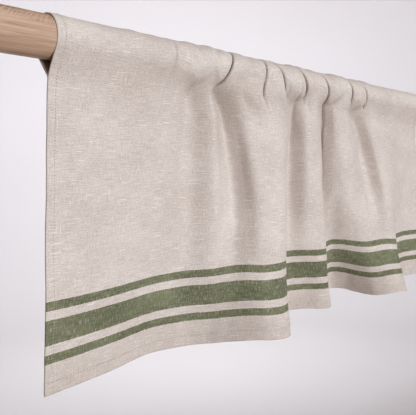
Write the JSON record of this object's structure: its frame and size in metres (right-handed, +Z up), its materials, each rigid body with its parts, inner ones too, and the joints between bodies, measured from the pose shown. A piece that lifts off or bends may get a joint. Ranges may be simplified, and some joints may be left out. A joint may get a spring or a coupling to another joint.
{
  "type": "valance on a rod",
  "caption": "Short linen valance with a sewn rod pocket, gathered on a plain round wooden rod, with woven stripes above its hem.",
  "frame": {"origin": "middle of the rod's axis", "axes": "+X along the rod, to the right as seen from the room; -Y out into the room, the side the cloth shows; +Z up"},
  "size_m": [1, 0.1067, 0.3595],
  "materials": {
    "rod": "lightly oiled wood with a plain straight grain",
    "cloth": "natural washed linen in plain weave, with three green stripes woven in above the hem"
  },
  "bodies": {
    "root": {"rod": "rod", "valance": "cloth"}
  },
  "joints": []
}
